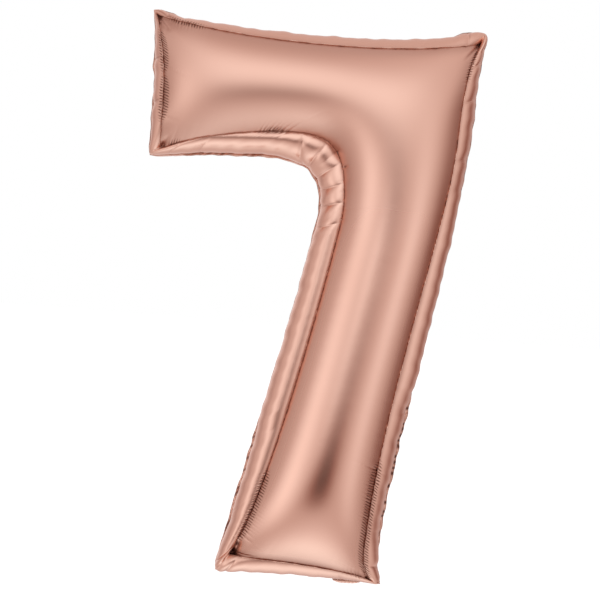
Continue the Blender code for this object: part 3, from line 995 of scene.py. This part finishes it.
class BALLOON_OT_seals(Operator):
    """Make the heat-sealed lips along the three seams"""
    bl_idname = "balloon.seals"
    bl_label = "Heat seals"

    def execute(self, context):
        digit = the_digit(context)
        shape, finish = digit.shape, context.scene.balloon_finish
        spread, outward, along = gusset_arcs(digit.strip, digit.depth, shape.middle_setback,
                                             shape.lip_shows * digit.lip_shows)[2:]
        gusset_leaves = np.cos(spread)[:, None] * along + np.sin(spread)[:, None] * outward
        lip_way = np.array(PANEL_LEAVES) / np.hypot(*PANEL_LEAVES) + gusset_leaves
        lip_way = lip_way / np.linalg.norm(lip_way, axis=1)[:, None]
        roots = np.column_stack([-digit.strip, digit.depth])
        for name, facing, seed in (("front_seal", FRONT, 21), ("back_seal", BACK, 22)):
            rings = lip_rings(digit, roots, lip_way, shape.panel_seal_width, seed)
            # The panel lips get painted shade, more where the film is gathered.
            self.lip(digit, name, rings, facing, finish, 0.2 + 0.5 * digit.gathered)
        shown = shape.lip_shows * digit.lip_shows
        roots = np.column_stack([digit.wobble - shape.middle_setback - shown, 0 * shown])
        ways = np.tile([1.0, 0.0], (len(roots), 1))
        rings = lip_rings(digit, roots, ways, shape.middle_seal_width + shown, 23,
                          digit.lip_shows)
        # The middle lip gets painted shade, darker on the shaded pillows of its gathers.
        pillow_shade = digit.middle_creases.pillow_shade(digit.outer_along) * digit.lip_shows
        self.lip(digit, "mid_seal", rings, BACK, finish, 0.3 + 0.65 * pillow_shade)
        return {"FINISHED"}

    def lip(self, digit, name, rings, facing, finish, painted_shade):
        x = digit.outer[:, :1] + rings[..., 0] * digit.out[:, :1]
        z = digit.outer[:, 1:] + rings[..., 0] * digit.out[:, 1:]
        verts = np.stack([x, rings[..., 1] * facing, z], -1).reshape(-1, 3)
        faces = grid_faces(len(rings), rings.shape[1], closed=True, ring=True,
                           flip=facing == BACK)
        lip = make_piece(f"{name}_lip", verts, faces, ENVELOPE,
                         foil_material(f"{name}_film", finish, ribbed=True),
                         painted_shade=np.repeat(painted_shade, rings.shape[1]))
        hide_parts(name)


class BALLOON_OT_valve(Operator):
    """Make the two films of the flat valve inside the foot"""
    bl_idname = "balloon.valve"
    bl_label = "Valve"

    def execute(self, context):
        finish = context.scene.balloon_finish
        material = valve_material("valve_clear_film", finish)
        rows, columns = 49, 17
        for name, side in (("valve_front_film", FRONT), ("valve_back_film", BACK)):
            low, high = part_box(name)
            x = np.linspace(low.x, high.x, columns)[None, :]
            z = np.linspace(low.z, high.z, rows)[:, None]
            across = (x - low.x) / (high.x - low.x)
            up = (z - low.z) / (high.z - low.z)
            gape = 0.0004 + 0.0022 * np.sin(np.pi * across) ** 2 * up ** 2
            ripple = 0.0006 * np.sin(9 * up + 2 * across) * up
            y = side * gape + ripple
            x, z = x + 0 * z, z + 0 * x
            verts = np.stack([x, y, z], -1).reshape(-1, 3)
            film = make_piece(f"{name}_sheet", verts, grid_faces(rows, columns, flip=side == BACK),
                              ENVELOPE, material)
            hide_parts(name)
        return {"FINISHED"}


def tail_middle(shape, count):
    """The tail's middle line as (back, up): out of the neck, down, and folded back."""
    droop = shape.tail_droop
    chain = [(0.0003, 0.0016), (0.0000, -0.5 * droop), (0.0008, -droop),
             (0.0042, -droop), (0.0090, -droop), (0.0110, -0.0012),
             (0.0220, -0.0010), (0.0330, -0.0008), (0.0480, 0.0010),
             (shape.tail_length, -0.0006)]
    line, steps = curve_points(chain, np.linspace(0, 1, count))
    way = np.gradient(line, axis=0)
    way = way / np.linalg.norm(way, axis=1)[:, None]
    return line, np.column_stack([-way[:, 1], way[:, 0]]), steps


# The tail's films are welded beyond this share of their half width, and sag only below
# this height in their middle.
TAIL_WELD, TAIL_SAG_BELOW = 0.84, -0.0008


def tail_film(shape, half_width, side, gap, puff, seed):
    """A film of the tail: it lies to one side of the middle line and puffs between edges."""
    rows, columns = 90, 49
    line, sideways, steps = tail_middle(shape, rows)
    across = np.linspace(-1, 1, columns)
    rng = np.random.default_rng(seed)
    swell = np.clip(1 - (np.abs(across) / TAIL_WELD) ** 4, 0, 1)[None, :]
    near_neck = np.exp(-steps / 0.012)[:, None]
    pleats = sum(np.sin(across * rng.uniform(9, 26) + rng.uniform(0, 6)) for _ in range(3)) / 3
    lift = gap + puff * swell * (1 - 0.4 * near_neck)
    shared = 0.0006 * pleats[None, :] * near_neck
    shared = shared + 0.0005 * np.sin(steps / 0.006)[:, None] * across[None, :] * swell
    offset = side * lift + shared
    narrow = 1 - 0.06 * near_neck * np.abs(across)[None, :]
    x = across[None, :] * half_width * narrow
    y = line[:, :1] + sideways[:, :1] * offset
    z = line[:, 1:] + sideways[:, 1:] * offset
    sagged = TAIL_SAG_BELOW + (z - TAIL_SAG_BELOW) * (1 - 0.85 * across[None, :] ** 4)
    z = np.where(z < TAIL_SAG_BELOW, sagged, z)
    verts = np.stack([x, y, z], -1).reshape(-1, 3)
    edge = np.clip((np.abs(across) - TAIL_WELD) / 0.05, 0, 1)[None, :]
    # Painted shade at the welded edges and in the pleats by the neck.
    painted_shade = np.maximum(0.45 * edge + 0 * near_neck, 0.5 * near_neck * (0.5 - 0.5 * pleats[None, :]))
    return verts, painted_shade.ravel(), grid_faces(rows, columns, flip=side < 0)


class BALLOON_OT_tail(Operator):
    """Make the filling tail folded back under the foot"""
    bl_idname = "balloon.tail"
    bl_label = "Tail"

    def execute(self, context):
        shape, finish = context.scene.balloon_shape, context.scene.balloon_finish
        half = shape.tail_width / 2
        for name, side in (("tail_front_foil", -1), ("tail_back_foil", 1)):
            verts, painted_shade, faces = tail_film(shape, half, side, 0.0004, 0.0007, 31)
            foil = make_piece(f"{name}_sheet", verts, faces, TAIL,
                              foil_material(f"{name}_rose_gold", finish, 0.2), painted_shade=painted_shade)
            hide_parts(name)
        low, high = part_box("inlet_sleeve")
        verts, _, faces = tail_film(shape, (high.x - low.x) / 2, 1, 0.0, 0.0002, 31)
        sleeve = make_piece("inlet_sleeve_sheet", verts, faces, TAIL,
                            valve_material("sleeve_clear_film", finish))
        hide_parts("inlet_sleeve")
        return {"FINISHED"}


# Stage --------------------------------------------------------------------------------

class BALLOON_OT_stage(Operator):
    """Make the floor, the light and the camera"""
    bl_idname = "balloon.stage"
    bl_label = "Stage"

    def execute(self, context):
        stage = context.scene.balloon_stage
        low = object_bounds()[0]
        first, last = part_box("mid_seal")
        middle = Vector(((first.x + last.x) / 2 + 0.002, 0, (first.z + last.z) / 2 - 0.002))
        make_floor(stage, low)
        make_studio()
        camera_data = bpy.data.cameras.new("camera")
        camera_data.lens = camera_data.sensor_width * stage.camera_distance / stage.view_width
        camera = bpy.data.objects.new("camera", camera_data)
        context.scene.collection.objects.link(camera)
        camera.matrix_world = (Matrix.Translation(middle + Vector((0, -stage.camera_distance, 0)))
                               @ Matrix.Rotation(math.radians(90), 4, "X")
                               @ Matrix.Rotation(stage.camera_roll, 4, "Z"))
        context.scene.camera = camera
        context.scene.view_settings.view_transform = "Standard"
        return {"FINISHED"}


def make_floor(stage, low):
    bpy.ops.object.select_all(action="DESELECT")
    bpy.ops.mesh.primitive_plane_add(size=stage.floor_size,
                                     location=(0, 0, low.z - stage.floor_drop))
    floor = bpy.context.object
    floor.name = "floor"
    material = bpy.data.materials.new("floor_paint")
    material.use_nodes = True
    shader = material.node_tree.nodes["Principled BSDF"]
    shader.inputs["Base Color"].default_value = (*stage.floor_colour, 1)
    shader.inputs["Roughness"].default_value = 0.9
    shader.inputs["Emission Color"].default_value = (1, 1, 1, 1)
    shader.inputs["Emission Strength"].default_value = stage.floor_glow
    floor.data.materials.append(material)
    floor.visible_glossy = False
    floor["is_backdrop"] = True


# The studio round the balloon, as soft bright and dark patches: the direction of each
# (degrees to the right of the camera, degrees up), its half widths along x, y and z, and
# how much it adds to the light in red, green and blue.
STUDIO_BASE = (0.74, 0.66, 0.65)
STUDIO_DIMMEST = (0.03, 0.02, 0.015)
STUDIO_PATCHES = (
    ("front_softbox", (0, 27), (0.95, 1.0, 0.75), (0.60, 0.78, 0.85)),
    ("low_front_softbox", (0, -60), (0.90, 0.9, 0.50), (0.36, 0.46, 0.50)),
    ("centre_softbox", (-13, 9), (0.24, 0.9, 0.24), (0.24, 0.32, 0.35)),
    ("camera_side_gap", (1, -11), (0.54, 0.9, 0.30), (-0.84, -0.97, -1.01)),
    ("right_gap", (106, 0), (0.60, 0.6, 0.90), (-0.50, -0.58, -0.60)),
    ("right_softbox", (50, 0), (0.40, 0.5, 0.80), (0.34, 0.44, 0.48)),
    ("left_softbox", (-50, -4), (0.54, 0.5, 0.60), (0.58, 0.71, 0.76)),
    ("left_gap", (-116, 0), (0.42, 0.42, 0.60), (-0.26, -0.28, -0.28)),
    ("upper_left_gap", (-75, 58), (0.50, 0.6, 0.42), (-0.42, -0.50, -0.52)),
    ("back_left_softbox", (-165, 5), (0.50, 0.5, 0.90), (0.32, 0.38, 0.40)),
    ("back_right_gap", (150, 0), (0.50, 0.5, 0.90), (-0.22, -0.24, -0.24)),
    ("floor_bounce", (0, -88), (0.80, 0.9, 0.50), (0.40, 0.58, 0.64)),
)


def direction(turn, height):
    turn, height = math.radians(turn), math.radians(height)
    return (math.sin(turn) * math.cos(height), -math.cos(turn) * math.cos(height),
            math.sin(height))


def make_studio():
    world = bpy.data.worlds.new("studio")
    bpy.context.scene.world = world
    world.use_nodes = True
    tree = world.node_tree
    way = tree.nodes.new("ShaderNodeTexCoord").outputs["Generated"]
    vector = "ShaderNodeVectorMath"
    light = STUDIO_BASE
    for name, (turn, height), widths, amount in STUDIO_PATCHES:
        away = calculate(tree, "SUBTRACT", way, direction(turn, height), kind=vector)
        away = calculate(tree, "DIVIDE", away, widths, kind=vector)
        soft = map_range(tree, calculate(tree, "LENGTH", away, kind=vector), 1.0, 0.0)
        soft.node.label = name
        light = calculate(tree, "MULTIPLY_ADD", amount, soft, light, kind=vector)
    light = calculate(tree, "MAXIMUM", light, STUDIO_DIMMEST, kind=vector)
    seen = tree.nodes.new("ShaderNodeLightPath").outputs["Is Camera Ray"]
    shown = mix_colours(tree, seen, light, (1.0, 1.0, 1.0, 1.0))
    link(tree, shown, tree.nodes["Background"].inputs["Color"])


class BALLOON_PT_panel(Panel):
    bl_label = "Foil number balloon"
    bl_idname = "BALLOON_PT_panel"
    bl_space_type = "VIEW_3D"
    bl_region_type = "UI"
    bl_category = "Balloon"

    def draw(self, context):
        column = self.layout.column()
        for group in (context.scene.balloon_shape, context.scene.balloon_finish,
                      context.scene.balloon_stage):
            for name in group.__annotations__:
                column.prop(group, name)
        for operator in OPERATORS:
            column.operator(operator.bl_idname)


OPERATORS = (BALLOON_OT_panels, BALLOON_OT_gussets, BALLOON_OT_seals, BALLOON_OT_valve,
             BALLOON_OT_tail, BALLOON_OT_stage)
CLASSES = (BALLOON_PG_shape, BALLOON_PG_finish, BALLOON_PG_stage, *OPERATORS, BALLOON_PT_panel)


def register():
    for cls in CLASSES:
        bpy.utils.register_class(cls)
    bpy.types.Scene.balloon_shape = PointerProperty(type=BALLOON_PG_shape)
    bpy.types.Scene.balloon_finish = PointerProperty(type=BALLOON_PG_finish)
    bpy.types.Scene.balloon_stage = PointerProperty(type=BALLOON_PG_stage)


def unregister():
    del bpy.types.Scene.balloon_stage
    del bpy.types.Scene.balloon_finish
    del bpy.types.Scene.balloon_shape
    for cls in reversed(CLASSES):
        bpy.utils.unregister_class(cls)


def main():
    register()
    bpy.ops.balloon.panels()
    bpy.ops.balloon.gussets()
    bpy.ops.balloon.seals()
    bpy.ops.balloon.valve()
    bpy.ops.balloon.tail()
    bpy.ops.balloon.stage()


if __name__ == "__main__":
    main()
